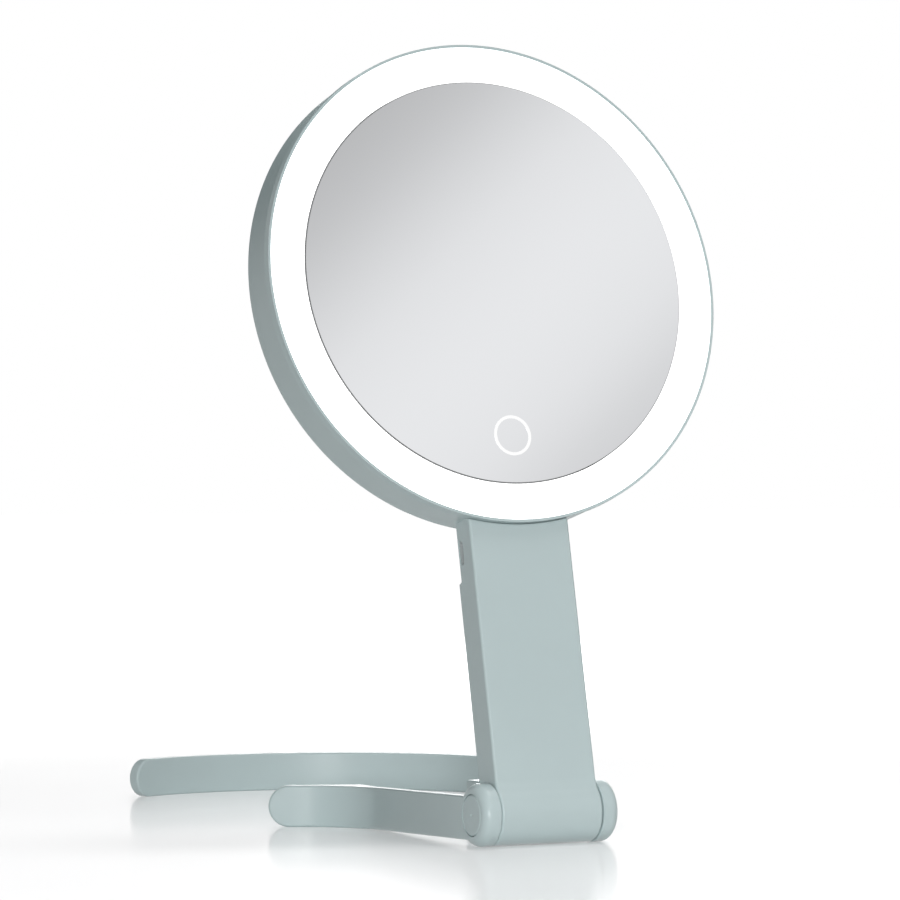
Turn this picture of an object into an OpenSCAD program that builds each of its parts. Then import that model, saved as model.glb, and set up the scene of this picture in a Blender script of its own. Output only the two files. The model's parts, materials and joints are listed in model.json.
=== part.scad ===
// Lighted hand mirror on a fold-out ring stand, in millimetres, +Z up, mirror facing -Y.
// The handle turns on a friction hinge between the ears of two legs. Folded back, the head
// lies level inside the ring that the legs form.

/* [Head] */
// Outer diameter of the lip round the light
head_d = 180; // [165:1:200]
// Depth of the head from lip to back
head_t = 18.4; // [17.6:0.2:24]
// Depth of the lip, back to its seam with the housing
lip_depth = 2.5; // [2.3:0.1:3.5]
// Width of the lip seen from the front
lip_w = 0.8; // [0.6:0.1:1.4]
// How far the housing wall lies inside the lip
wall_inset = 0.5; // [0.2:0.1:1]
// Thickness of the head's wall and floor
head_wall = 2; // [1.6:0.1:2.4]
// Rounding of the head's back edge
back_round = 2.2; // [1:0.1:3]

/* [Mirror and light] */
// Diameter of the glass
glass_d = 151; // [140:1:155]
// Thickness of the glass
glass_t = 3; // [2:0.1:3.4]
// How far glass and light ring lie behind the lip's front
front_inset = 0.2; // [0.1:0.05:0.5]
// Thickness of the light ring
diffuser_t = 1.6; // [1.2:0.1:1.8]
// Gap round the light ring's edges
light_gap = 0.2; // [0.1:0.05:0.4]
// Number of lamps behind the light ring
lamp_count = 48; // [24:1:60]
// Distance of the touch mark below the glass centre
touch_drop = 57; // [50:0.5:60]
// Mean diameter of the touch mark
touch_d = 14; // [10:0.5:18]
// Line width of the touch mark
touch_line = 1.3; // [0.8:0.1:2]

/* [Handle] */
// Width of the handle and of the hinge barrel
handle_w = 40; // [38:0.5:46]
// How far the handle's front lies behind the lip's front
handle_inset = 1.1; // [0.8:0.1:2]
// Depth of the handle between head and step
neck_depth = 11.9; // [11.4:0.1:13]
// Depth of the handle below the step
grip_depth = 13.9; // [13.4:0.1:15]
// Distance of the step below the head's lip
step_below_lip = 19.1; // [17:0.5:24]
// Length of the step's slope along the handle
step_slope = 0.7; // [0.4:0.1:1.5]
// Wall thickness of the handle
handle_wall = 1.8; // [1.4:0.1:2.2]
// Width of the ledge that carries the back cover
ledge_w = 1; // [0.6:0.1:1.4]
// Radius of the hollow blend from handle front to barrel
blend_r = 10; // [7:0.5:12]
// Chamfer along the handle's front edges and the barrel's ends
edge_chamfer = 0.8; // [0.4:0.1:1.2]

/* [Charging socket] */
// Distance of the socket's centre below the lip
socket_below_lip = 9.1; // [8:0.1:10]
// Length of the socket's shell along the handle
socket_l = 8.9; // [8.6:0.1:9.2]
// Width of the socket's shell
socket_w = 3.2; // [3:0.1:3.3]
// Depth of the socket's shell
socket_depth = 7.4; // [6.5:0.1:9]

/* [Hinge] */
// Distance from hinge axis to head centre
hinge_to_head = 193.6; // [180:0.5:210]
// How far the mirror leans back as it stands, in degrees
rest_lean = 12.4; // [0:0.1:30]
// Diameter of the ears that stand on the table
ear_d = 22.5; // [21.5:0.1:25]
// Width of an ear
ear_w = 6.7; // [6.5:0.1:9]
// Rounding of the ears' outer edge
ear_round = 3.6; // [2:0.1:3.8]
// Seam between ear and barrel
hinge_seam = 0.3; // [0.2:0.05:0.6]
// Height of the barrel above the table
barrel_lift = 0.15; // [0.1:0.05:0.4]
// Diameter of the hinge shaft
shaft_d = 6; // [5:0.1:6.4]
// Running clearance round the shaft
shaft_play = 0.05; // [0.02:0.01:0.08]
// Bore of the barrel
barrel_bore = 11; // [10.6:0.1:12]
// Diameter of the ears' end caps
cap_d = 14.8; // [13.8:0.1:15]
// Thickness of the end caps
cap_t = 1.5; // [1.2:0.1:1.8]

/* [Stand] */
// Gap between the folded head and the ring
ring_gap = 2.5; // [1.5:0.1:5]
// Thickness of the ring and the arms
ring_t = 5; // [4:0.1:5.2]
// Height of the ring and the arms
ring_h = 15.6; // [12:0.2:18]
// How far the arms start below the hinge axis
arm_drop = 1.1; // [0:0.1:2]
// Radius of the bend from arm to ring
bend_r = 11; // [8:0.5:14]
// Angle from the ring's near point to the short leg's tip
short_tip_angle = 30.5; // [26:0.5:60]
// Angle from the ring's near point to the long leg's tip
long_tip_angle = 205; // [190:1:230]

/* [Hidden] */
$fn = 96;
big_fn = 180;
sage = [0.73, 0.79, 0.79];
// General fitting clearance between pieces of one assembly
fit = 0.1;
eps = 0.5;

// Head, measured from its centre and back from the lip's front
head_r = head_d / 2;
wall_or = head_r - wall_inset;
wall_ir = wall_or - head_wall;
floor_z = head_t - head_wall;
skin_t = head_wall * 0.45;
skin_h = 0.9;
spigot_t = 1.6;
spigot_h = 3.5;
spigot_or = wall_ir - fit;
spigot_ir = spigot_or - spigot_t;
glass_r = glass_d / 2;
light_or = head_r - lip_w - light_gap;
light_ir = glass_r + light_gap;
light_back = front_inset + diffuser_t;
glass_back = front_inset + glass_t;
tape_t = 0.7;
tape_w = 6;
carrier_z = glass_back + tape_t;
carrier_t = 2;
carrier_back = carrier_z + carrier_t;
carrier_r = glass_r - 1;
inner_tape_r = carrier_r * 0.35;
tray_wall = 1.2;
tray_ir = light_ir + 0.4;
tray_or = spigot_ir - fit;
tray_depth = 7.2;
tray_floor_z = light_back + tray_depth;
tray_back = tray_floor_z + 1;
lamp_strip_t = 1.2;
lamp_strip_z = tray_floor_z - lamp_strip_t;
lamp_strip_ir = tray_ir + tray_wall + fit;
lamp_strip_or = tray_or - tray_wall - fit;
lamp_mid_r = (lamp_strip_ir + lamp_strip_or) / 2;
lamp_size = [3.5, 2.8, 0.9];
seat_rib_t = 1.6;
boss_ring_r = glass_r * 0.76;
boss_count = 6;
boss_r = 3.2;
pilot_r = 1.1;
carrier_head_r = 2.6;
carrier_head_h = 1.3;
sensor_r = touch_d / 2 + 2;
sensor_t = 0.3;
ribbon_w = 5;
ribbon_t = 0.3;
pass_w = 20;
pass_x = -3;

// Handle, measured from the hinge axis along the leaning mirror, front towards -Y
front_y = -head_t / 2;
lip_z = hinge_to_head - head_r;
grip_front = front_y + handle_inset;
neck_back = grip_front + neck_depth;
grip_back = grip_front + grip_depth;
grip_top = hinge_to_head - sqrt(pow(wall_ir, 2) - pow(handle_w / 2, 2));
step_z = lip_z - step_below_lip;
step_top = step_z + step_slope / 2;
step_bottom = step_z - step_slope / 2;
barrel_r = ear_d / 2 - barrel_lift;
blend_y = grip_front - blend_r;
blend_z = sqrt(pow(barrel_r + blend_r, 2) - pow(blend_y, 2));
barrel_corner_z = sqrt(pow(barrel_r, 2) - pow(grip_back, 2));
cavity_floor = grip_front + handle_wall;
rabbet_x = handle_w / 2 - handle_wall;
cavity_x = rabbet_x - ledge_w;
cavity_bottom = barrel_r + handle_wall;
cavity_top = lip_z - 2;
neck_wall = 1.4;
neck_inner = neck_back - neck_wall;
neck_wall_bottom = step_bottom - 1.5;
cover_bottom = cavity_bottom - ledge_w;
tongue_w = 16;
tongue_t = 1;
tongue_reach = 3.5;
cover_post_x = cavity_x - 3.4;
cover_post_z = cavity_bottom + 3.6;
cover_post_r = 2.8;
cover_head_r = 2.1;
cover_head_h = 1.1;
screw_shank_r = 0.95;

// Electronics
board_t = 1;
socket_y = neck_inner - fit - socket_w / 2;
socket_z = lip_z - socket_below_lip;
socket_mouth = -handle_w / 2 + 0.3;
socket_skin = 0.25;
board_back = socket_y - socket_w / 2;
board_front = board_back - board_t;
board_x = cavity_x - 0.3;
board_top = cavity_top - 0.6;
board_l = 24;
board_bottom = board_top - board_l;
post_x = board_x - 3;
post_r = 2;
battery_w = 30;
battery_l = 44;
battery_t = 7;
battery_round = 2;
pad_t = 0.5;
pad_inset = 3;
battery_bottom = cover_post_z + cover_post_r + 2;
battery_front = cavity_floor + pad_t;
battery_top = battery_bottom + battery_l;
plug_w = 6;
plug_h = 4.5;
plug_t = neck_inner - tongue_t - 2 * fit - board_back;
lead_r = 0.5;
block_l = 5;
chips = [[6, 2, 5], [9, 8, 4], [-2, 10, 6]];
chip_t = 1;
block_t = front_y + tray_back + 0.1 - board_back;
lead_x = -8;
lead_pitch = 2;

// Hinge, measured along the axis from its middle
ear_in = handle_w / 2 + hinge_seam;
ear_out = ear_in + ear_w;
ear_r = ear_d / 2;
ear_web = 2.2;
pocket_floor = ear_in + ear_web;
cap_seat = ear_out - cap_t;
cap_gap = 0.15;
pocket_r = cap_d / 2 - 1.8;
skirt_t = 0.8;
skirt_h = 1.2;
shaft_r = shaft_d / 2;
flat_half = shaft_r * 0.72;
tap_r = 1.5;
tap_depth = 9;
bore_r = barrel_bore / 2;
flange_r = bore_r + 1.5;
flange_t = 0.8;
flange_x = handle_w / 2 - 1.2;
bush_r = bore_r - fit / 2;
washer_in = flange_x + flange_t + shaft_play;
key_w = 2.2;
key_r = bore_r + 2.2;
clip_count = 3;
clip_w = 4;
clip_pitch = 5;
clip_slot = 1;
bush_l = flange_x - clip_count * clip_pitch / 2 - 1.3;
end_washer_r = 4.6;
end_washer_t = 0.6;
end_head_r = 2.9;
end_head_h = 1.5;

// Stand, measured from the point on the table below the hinge axis
axis_z = ear_r;
ring_ir = head_r + ring_gap;
ring_or = ring_ir + ring_t;
ring_y = hinge_to_head;
ring_mid_r = (ring_ir + ring_or) / 2;
arm_in = ear_out - ring_t;
arm_x = ear_out - ring_t / 2;
arm_rise = axis_z - arm_drop - ring_h / 2;
bend_x = ear_out + bend_r;
bend_y = ring_y - sqrt(pow(ring_or + bend_r, 2) - pow(bend_x, 2));
bend_angle = acos(bend_x / (ring_or + bend_r));
corner_y = ring_y - sqrt(pow(ring_ir, 2) - pow(arm_in, 2));
ring_start = asin(arm_x / ring_ir);
slope_end = bend_y - 1;
tip_allowance = asin(0.6 * ring_h / ring_ir);
bite = 0.02;

// The part's origin is on the table, below the middle of its box
mid_x = (ring_or - head_r) / 2;
mid_y = (ring_y + ring_or - ear_r) / 2;

// Frames: the stand's, the hinge's, the leaning mirror's and the head's
module on_stand() translate([-mid_x, -mid_y, 0]) children();
module on_hinge() on_stand() translate([0, 0, axis_z]) children();
module on_mirror() on_hinge() rotate([-rest_lean, 0, 0]) children();
module on_head() on_mirror() translate([0, front_y, hinge_to_head]) rotate([-90, 0, 0]) children();

// Turns a flat outline in Y and Z into an extrusion along X
module along_x() rotate([90, 0, 90]) children();

// Turns a shape round Z into one round X
module round_x() rotate([0, 90, 0]) children();

module both_sides() {
    children();
    mirror([1, 0, 0]) children();
}

module ring_of(count, radius, start = 0)
    for (i = [0 : count - 1]) rotate([0, 0, start + 360 * i / count]) translate([radius, 0, 0]) children();

module tube(outer, inner, from, to) translate([0, 0, from]) difference() {
    cylinder(r = outer, h = to - from);
    translate([0, 0, -eps]) cylinder(r = inner, h = to - from + 2 * eps);
}

module rounded_rect(w, h, r) {
    square([w - 2 * r, h], center = true);
    square([w, h - 2 * r], center = true);
    for (x = [-1, 1], y = [-1, 1]) translate([x * (w / 2 - r), y * (h / 2 - r)]) circle(r = r);
}

module stadium(w, h) {
    square([w, h - w], center = true);
    for (y = [-1, 1]) translate([0, y * (h - w) / 2]) circle(d = w);
}

// Stand

// Ear disc, its outer edge rounded, a chamfer along the seam to the barrel
module ear() translate([ear_in, 0, axis_z]) round_x() rotate_extrude() difference() {
    union() {
        square([ear_r - ear_round, ear_w]);
        polygon([[0, 0], [ear_r - hinge_seam, 0], [ear_r, hinge_seam], [ear_r, ear_w - ear_round],
            [0, ear_w - ear_round]]);
        translate([ear_r - ear_round, ear_w - ear_round]) circle(r = ear_round);
    }
    translate([0, -ear_w]) square([ear_r, ear_w]);
}

// Seen from above: the arm, the bend with its sharp inner corner, and the ring as far as the tip,
// the free ends still square
module leg_plan(tip_angle) difference() {
    union() {
        translate([arm_in, 0]) square([ring_t, corner_y + ring_t / 2]);
        polygon([[arm_x, bend_y], [bend_x, bend_y],
            [ring_mid_r * cos(bend_angle), ring_y - ring_mid_r * sin(bend_angle)],
            [arm_x, corner_y - ring_t / 2]]);
        translate([0, ring_y]) intersection() {
            circle(r = ring_or, $fn = big_fn);
            polygon(concat([[0, 0]], [for (i = [0 : 3])
                let (a = ring_start + (tip_angle + tip_allowance - ring_start) * i / 3)
                2 * ring_or * [sin(a), -cos(a)]]));
        }
    }
    translate([0, ring_y]) circle(r = ring_ir, $fn = big_fn);
    translate([bend_x, bend_y]) circle(r = bend_r + bite);
}

// Height of the arm's top or bottom where it begins, just in front of the hinge axis
function slope_z(level) = level + arm_rise * (1 + ring_t / slope_end);

// What is cut off above and below the arm, so that it slopes from the ear down to the ring
module slope_waste() along_x() linear_extrude(6 * ring_or, center = true) {
    polygon([[-ring_t, slope_z(ring_h)], [slope_end, ring_h], [3 * ring_y, ring_h],
        [3 * ring_y, 3 * ring_h], [-ring_t, 3 * ring_h]]);
    polygon([[-ring_t, slope_z(0)], [slope_end, 0], [slope_end, -ring_h], [-ring_t, -ring_h]]);
}

// What is cut off a ring's end to make it full round
module tip_waste(tip_angle) translate([0, ring_y, ring_h / 2]) rotate([0, 0, tip_angle - 90]) difference() {
    translate([ring_ir - ring_t, 0, -ring_h]) cube([3 * ring_t, ring_h, 2 * ring_h]);
    round_x() cylinder(r = ring_h / 2 + bite, h = 2 * ring_or);
}

module ear_bores() translate([0, 0, axis_z]) round_x() {
    translate([0, 0, cap_seat]) cylinder(r = cap_d / 2 + cap_gap, h = cap_t + eps);
    translate([0, 0, pocket_floor]) cylinder(r = pocket_r, h = ear_out - pocket_floor);
    intersection() {
        cylinder(r = shaft_r + shaft_play, h = pocket_floor + eps);
        translate([-ear_r, -flat_half - shaft_play, 0]) cube([ear_d, 2 * (flat_half + shaft_play), ear_out]);
    }
}

module leg(tip_angle) difference() {
    union() {
        ear();
        difference() {
            linear_extrude(2 * ring_h) leg_plan(tip_angle);
            slope_waste();
            tip_waste(tip_angle);
        }
    }
    ear_bores();
}

module left_leg() color(sage) on_stand() mirror([1, 0, 0]) leg(short_tip_angle);

module right_leg() color(sage) on_stand() leg(long_tip_angle);

module pivot_cap() round_x() difference() {
    union() {
        rotate_extrude() polygon([[0, cap_seat], [cap_d / 2, cap_seat], [cap_d / 2, ear_out - 0.4],
            [cap_d / 2 - 0.4, ear_out], [0, ear_out]]);
        tube(pocket_r - fit, pocket_r - fit - skirt_t, cap_seat - skirt_h, cap_seat + eps);
    }
    translate([0, 0, ear_out - 0.2]) cylinder(r = 0.5, h = eps);
}

module left_pivot_cap() color(sage * 0.97) on_hinge() mirror([1, 0, 0]) pivot_cap();

module right_pivot_cap() color(sage * 0.97) on_hinge() pivot_cap();

// Steel shaft: round inside the barrel, flats in the ears, tapped at both ends
module hinge_shaft() color("silver") on_hinge() round_x() difference() {
    union() {
        translate([0, 0, -ear_in]) cylinder(r = shaft_r, h = 2 * ear_in);
        intersection() {
            cylinder(r = shaft_r, h = 2 * (pocket_floor - fit), center = true);
            cube([ear_d, 2 * flat_half, 2 * ear_out], center = true);
        }
    }
    for (end = [-1, 1]) translate([0, 0, end * (pocket_floor - tap_depth / 2)])
        cylinder(r = tap_r, h = tap_depth, center = true);
}

module thrust_washers() color("white") on_hinge() both_sides() round_x()
    tube(flange_r - fit, shaft_r + shaft_play, washer_in, ear_in - shaft_play);

module end_washers() color("silver") on_hinge() both_sides() round_x()
    tube(end_washer_r, tap_r + fit, pocket_floor, pocket_floor + end_washer_t);

module end_screws() color("gray") on_hinge() both_sides() round_x() {
    seat = pocket_floor + end_washer_t;
    difference() {
        translate([0, 0, seat]) cylinder(r = end_head_r, h = end_head_h);
        translate([0, 0, seat + 0.6]) cylinder(r = 1.1, h = end_head_h, $fn = 6);
    }
    translate([0, 0, pocket_floor - tap_depth + 1])
        cylinder(r = tap_r - shaft_play, h = tap_depth - 1 + end_washer_t + eps);
}

// Housing

// Side outline of handle and barrel
module grip_profile() difference() {
    union() {
        polygon([[grip_front, 0], [grip_front, grip_top], [neck_back, grip_top],
            [neck_back, step_top], [grip_back, step_bottom], [grip_back, 0]]);
        circle(r = barrel_r);
        polygon([[0, 0], [grip_front, blend_z], [blend_y, blend_z]]);
    }
    translate([blend_y, blend_z]) circle(r = blend_r);
}

// Chamfer of the right side: down the front edge, round the blend and round the barrel's end
module edge_waste() {
    inner = handle_w / 2 - edge_chamfer;
    translate([0, 0, blend_z]) linear_extrude(grip_top)
        polygon([[inner - edge_chamfer, grip_front - edge_chamfer],
            [handle_w, grip_front + handle_w - inner], [handle_w, grip_front - edge_chamfer]]);
    translate([inner - edge_chamfer, blend_y, blend_z]) round_x()
        cylinder(r1 = blend_r - edge_chamfer, r2 = blend_r + 2 * edge_chamfer, h = 3 * edge_chamfer);
    translate([inner, 0, 0]) difference() {
        round_x() cylinder(r = barrel_r + edge_chamfer, h = 2 * edge_chamfer);
        translate([-edge_chamfer, 0, 0]) round_x()
            cylinder(r1 = barrel_r + edge_chamfer, r2 = barrel_r - 3 * edge_chamfer, h = 4 * edge_chamfer);
        translate([-edge_chamfer, 0, 0]) along_x() linear_extrude(4 * edge_chamfer)
            polygon([[0, 0], [2 * blend_y, 2 * blend_z], [blend_y, 3 * grip_top],
                [3 * grip_back, grip_top], [3 * grip_back, 3 * barrel_corner_z]]);
    }
}

module grip_solid() difference() {
    along_x() linear_extrude(handle_w, center = true) grip_profile();
    both_sides() edge_waste();
}

// Room for the head: the lip in front, the middle of the housing wall behind
module head_room() {
    translate([0, 0, -head_t]) cylinder(r = head_r + fit, h = head_t + lip_depth, $fn = big_fn);
    cylinder(r = (wall_or + wall_ir) / 2, h = 2 * head_t, $fn = big_fn);
}

module head_cup() rotate_extrude($fn = big_fn) difference() {
    union() {
        translate([0, lip_depth]) square([wall_or, head_t - back_round - lip_depth]);
        translate([0, lip_depth]) square([wall_or - back_round, head_t - lip_depth]);
        translate([wall_or - back_round, head_t - back_round]) circle(r = back_round);
    }
    square([wall_ir, floor_z]);
    square([wall_or - skin_t, lip_depth + skin_h]);
}

// Open back of the handle with its rabbet, the closed neck and the wire pass into the head
module grip_hollow() {
    translate([-cavity_x, cavity_floor, cavity_bottom])
        cube([2 * cavity_x, grip_depth, neck_wall_bottom - cavity_bottom]);
    translate([-rabbet_x, neck_back, cover_bottom])
        cube([2 * rabbet_x, grip_depth, step_top + eps - cover_bottom]);
    translate([-cavity_x, cavity_floor, neck_wall_bottom - eps])
        cube([2 * cavity_x, neck_inner - cavity_floor, cavity_top - neck_wall_bottom + eps]);
    translate([pass_x - pass_w / 2, front_y + tray_back + fit, cavity_top - eps])
        cube([pass_w, neck_inner - front_y - tray_back - fit, grip_top - cavity_top + 2]);
}

module barrel_bores() round_x() {
    cylinder(r = bore_r, h = handle_w + 2, center = true);
    for (end = [0, 1]) mirror([0, 0, end]) translate([0, 0, flange_x]) cylinder(r = flange_r, h = handle_w);
    translate([-key_r, -key_w / 2, -flange_x]) cube([key_r, key_w, 2 * flange_x]);
}

module socket_hole() along_x() translate([socket_y, socket_z, -handle_w])
    linear_extrude(handle_w) stadium(socket_w + 2 * fit, socket_l + 2 * fit);

module cover_posts() for (side = [-1, 1]) translate([side * cover_post_x, cavity_floor - eps, cover_post_z])
    rotate([-90, 0, 0]) difference() {
        cylinder(r = cover_post_r, h = neck_back - cavity_floor + eps);
        translate([0, 0, 3]) cylinder(r = pilot_r, h = grip_depth);
    }

module board_posts() for (side = [-1, 1], z = [board_bottom + 3, board_top - 3])
    translate([side * post_x, cavity_floor - eps, z]) rotate([-90, 0, 0])
        cylinder(r = post_r, h = board_front - cavity_floor + eps);

module carrier_posts() ring_of(boss_count, boss_ring_r) translate([0, 0, carrier_back]) difference() {
    cylinder(r = boss_r, h = floor_z - carrier_back + eps);
    translate([0, 0, -eps]) cylinder(r = pilot_r, h = floor_z - carrier_back);
}

module tray_seat() difference() {
    tube(lamp_mid_r + seat_rib_t / 2, lamp_mid_r - seat_rib_t / 2, tray_back, floor_z + eps);
    translate([pass_x - pass_w / 2, 0, 0]) cube([pass_w, head_r, head_t]);
}

module rear_housing() color(sage) {
    difference() {
        union() {
            on_head() head_cup();
            difference() {
                on_mirror() grip_solid();
                on_head() head_room();
            }
        }
        on_mirror() grip_hollow();
        on_mirror() barrel_bores();
        on_mirror() socket_hole();
    }
    on_mirror() cover_posts();
    on_mirror() board_posts();
    on_head() carrier_posts();
    on_head() tray_seat();
}

// Trim ring: rounded lip, flange that carries the light ring, spigot that snaps into the housing
module front_bezel() color(sage) on_head() rotate_extrude($fn = big_fn) {
    translate([head_r - lip_w / 2, lip_w / 2]) circle(d = lip_w);
    translate([head_r - lip_w, lip_w / 2]) square([lip_w, lip_depth - lip_w / 2]);
    translate([spigot_ir, light_back]) square([head_r - lip_w / 2 - spigot_ir, lip_depth - light_back]);
    translate([spigot_ir, light_back])
        square([wall_or - skin_t - fit - spigot_ir, lip_depth + skin_h - fit - light_back]);
    translate([spigot_ir, light_back]) square([spigot_t, lip_depth + spigot_h - light_back]);
}

module diffuser_ring() color("white") on_head()
    tube(light_or, light_ir, front_inset, light_back, $fn = big_fn);

module mirror_glass() color("lightgray") on_head() translate([0, 0, front_inset])
    cylinder(r = glass_r, h = glass_t, $fn = big_fn);

module touch_ring() color("white") on_head() translate([0, touch_drop, 0])
    tube((touch_d + touch_line) / 2, (touch_d - touch_line) / 2, front_inset / 2, front_inset);

module handle_back_cover() color(sage) on_mirror() difference() {
    union() {
        along_x() linear_extrude(2 * (rabbet_x - fit), center = true)
            polygon([[neck_back, cover_bottom + fit], [grip_back, cover_bottom + fit],
                [grip_back, step_bottom], [neck_back, step_top]]);
        along_x() linear_extrude(tongue_w, center = true)
            polygon([[neck_inner - fit - tongue_t, neck_wall_bottom - 4],
                [neck_back + eps, neck_wall_bottom - 6],
                [neck_back + eps, neck_wall_bottom - fit], [neck_inner - fit, neck_wall_bottom - fit],
                [neck_inner - fit, neck_wall_bottom + tongue_reach],
                [neck_inner - fit - tongue_t, neck_wall_bottom + tongue_reach]]);
    }
    for (side = [-1, 1]) translate([side * cover_post_x, grip_back, cover_post_z]) rotate([90, 0, 0]) {
        translate([0, 0, -eps]) cylinder(r = cover_head_r + fit, h = cover_head_h + fit + eps);
        cylinder(r = pilot_r + fit, h = grip_depth, center = true);
    }
}

module cover_screws() color("gray") on_mirror() for (side = [-1, 1])
    translate([side * cover_post_x, grip_back - fit, cover_post_z]) rotate([90, 0, 0]) {
        difference() {
            cylinder(r = cover_head_r, h = cover_head_h);
            for (turn = [0, 90]) rotate([0, 0, turn]) cube([2.4, 0.5, 1.2], center = true);
        }
        cylinder(r = screw_shank_r, h = 7);
    }

// Hinge pieces inside the barrel
module hinge_bushes() color("gold") on_mirror() both_sides() round_x() {
    tube(bush_r, shaft_r + shaft_play, flange_x - bush_l, flange_x + flange_t);
    tube(flange_r - fit, bush_r - eps, flange_x, flange_x + flange_t);
}

module friction_clips() color("dimgray") on_mirror() for (i = [0 : clip_count - 1])
    translate([(i - (clip_count - 1) / 2) * clip_pitch, 0, 0]) round_x() difference() {
        union() {
            cylinder(r = bush_r, h = clip_w, center = true);
            translate([-key_r + fit, -key_w / 2 + fit, -clip_w / 2]) cube([key_r, key_w - 2 * fit, clip_w]);
        }
        cylinder(r = shaft_r + shaft_play, h = clip_w + 2, center = true);
        translate([0, -clip_slot / 2, -clip_w]) cube([bore_r + 1, clip_slot, 2 * clip_w]);
    }

// Charging socket
module usb_port() color("silver") on_mirror() along_x() translate([socket_y, socket_z, socket_mouth]) {
    linear_extrude(socket_depth) difference() {
        stadium(socket_w, socket_l);
        stadium(socket_w - 2 * socket_skin, socket_l - 2 * socket_skin);
    }
    translate([0, 0, socket_depth - 1])
        linear_extrude(1) stadium(socket_w - socket_skin, socket_l - socket_skin);
}

module usb_tongue() color("dimgray") on_mirror() along_x() translate([socket_y, socket_z, socket_mouth + 1.2])
    linear_extrude(socket_depth - 2.2) square([0.7, 6.6], center = true);

// Light and mirror support inside the head
module mirror_carrier() color("whitesmoke") on_head() difference() {
    union() {
        translate([0, 0, carrier_z]) cylinder(r = carrier_r, h = carrier_t, $fn = big_fn);
        tube(carrier_r, carrier_r - 1.6, carrier_back - eps, carrier_back + 3, $fn = big_fn);
        for (i = [0 : 2]) rotate([0, 0, 30 + 60 * i]) translate([-carrier_r + 1, -0.8, carrier_back - eps])
            cube([2 * carrier_r - 2, 1.6, 3 + eps]);
    }
    ring_of(boss_count, boss_ring_r) {
        translate([0, 0, carrier_z - eps]) cylinder(r = carrier_head_r + fit, h = carrier_head_h + fit + eps);
        cylinder(r = pilot_r + fit, h = head_t);
    }
    translate([-ribbon_w / 2 - 1, touch_drop - 2, 0]) cube([ribbon_w + 2, carrier_r, head_t]);
}

module mirror_tape() color("dimgray") on_head() {
    difference() {
        tube(carrier_r - 1, carrier_r - 1 - tape_w, glass_back, carrier_z, $fn = big_fn);
        translate([-ribbon_w / 2 - 1, touch_drop - 2, 0]) cube([ribbon_w + 2, carrier_r, head_t]);
        translate([0, touch_drop, 0]) cylinder(r = sensor_r + fit, h = head_t);
    }
    tube(inner_tape_r, inner_tape_r - tape_w, glass_back, carrier_z);
}

module carrier_screws() color("gray") on_head() ring_of(boss_count, boss_ring_r)
    translate([0, 0, carrier_z + fit]) {
    difference() {
        cylinder(r = carrier_head_r, h = carrier_head_h);
        for (turn = [0, 90]) rotate([0, 0, turn]) cube([2.8, 0.6, 1.2], center = true);
    }
    cylinder(r = screw_shank_r, h = 7);
}

module reflector_tray() color("white") on_head() difference() {
    rotate_extrude($fn = big_fn) {
        translate([tray_ir, light_back]) square([tray_wall, tray_back - light_back]);
        translate([tray_ir, tray_floor_z]) square([tray_or - tray_ir, tray_back - tray_floor_z]);
        translate([tray_or - tray_wall, light_back + 0.6]) square([tray_wall, tray_back - light_back - 0.6]);
    }
    lead_places() cylinder(r = lead_r + 0.3, h = head_t);
}

module led_board() color("seashell") on_head()
    tube(lamp_strip_or, lamp_strip_ir, lamp_strip_z, tray_floor_z, $fn = big_fn);

module leds() color("lightyellow") on_head() ring_of(lamp_count, lamp_mid_r, 180 / lamp_count)
    translate([0, 0, lamp_strip_z - lamp_size.z / 2]) cube(lamp_size, center = true);

module lead_places() for (i = [0, 1]) translate([lead_x + i * lead_pitch, lamp_mid_r, 0]) children();

// Two wires from the lamp strip, down through the wire pass to the board's upper block
module led_leads() color("crimson") on_head() lead_places() {
    turn_z = tray_back + lead_r + fit;
    run = block_top_drop() - lamp_mid_r;
    translate([0, 0, tray_floor_z]) cylinder(r = lead_r, h = turn_z - tray_floor_z);
    translate([0, 0, turn_z]) sphere(r = lead_r);
    translate([0, 0, turn_z]) rotate([-90, 0, 0]) cylinder(r = lead_r, h = run);
}

// Distance below the head centre at which the leads and the ribbon end on the board
function block_top_drop() = hinge_to_head - board_top + 1 + block_l / 2;

module touch_sensor() color("peru") on_head() translate([0, touch_drop, glass_back])
    cylinder(r = sensor_r, h = sensor_t);

// Flat ribbon: back through the carrier's slot, then down to the board
module touch_ribbon() color("orange") on_head() {
    back = tray_back + 0.2;
    translate([-ribbon_w / 2, touch_drop, glass_back + sensor_t])
        cube([ribbon_w, ribbon_t, back + ribbon_t - glass_back - sensor_t]);
    translate([-ribbon_w / 2, touch_drop, back]) cube([ribbon_w, block_top_drop() - touch_drop, ribbon_t]);
}

// Electronics in the handle
module control_board() color("seagreen") on_mirror()
    translate([-board_x, board_front, board_bottom]) cube([2 * board_x, board_t, board_top - board_bottom]);

// Blocks that the wires end on, and the chips of the charge and dimmer circuits
module board_chips() color("black") on_mirror() {
    translate([-ribbon_w / 2 - 0.5, board_back, board_top - 1 - block_l])
        cube([ribbon_w + 1, block_t, block_l]);
    translate([lead_x - 1.2, board_back, board_top - 1 - block_l]) cube([lead_pitch + 2.4, block_t, block_l]);
    for (chip = chips) translate([chip.x, board_back, board_bottom + chip.y]) cube([chip.z, chip_t, chip.z]);
}

module battery_cell() color("lightsteelblue") on_mirror() translate([0, battery_front, battery_bottom])
    rotate([-90, 0, 0]) translate([0, -battery_l / 2, 0]) linear_extrude(battery_t)
        rounded_rect(battery_w, battery_l, battery_round);

module battery_pad() color("dimgray") on_mirror()
    translate([-battery_w / 2 + pad_inset, cavity_floor, battery_bottom + pad_inset])
        cube([battery_w - 2 * pad_inset, pad_t, battery_l - 2 * pad_inset]);

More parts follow.
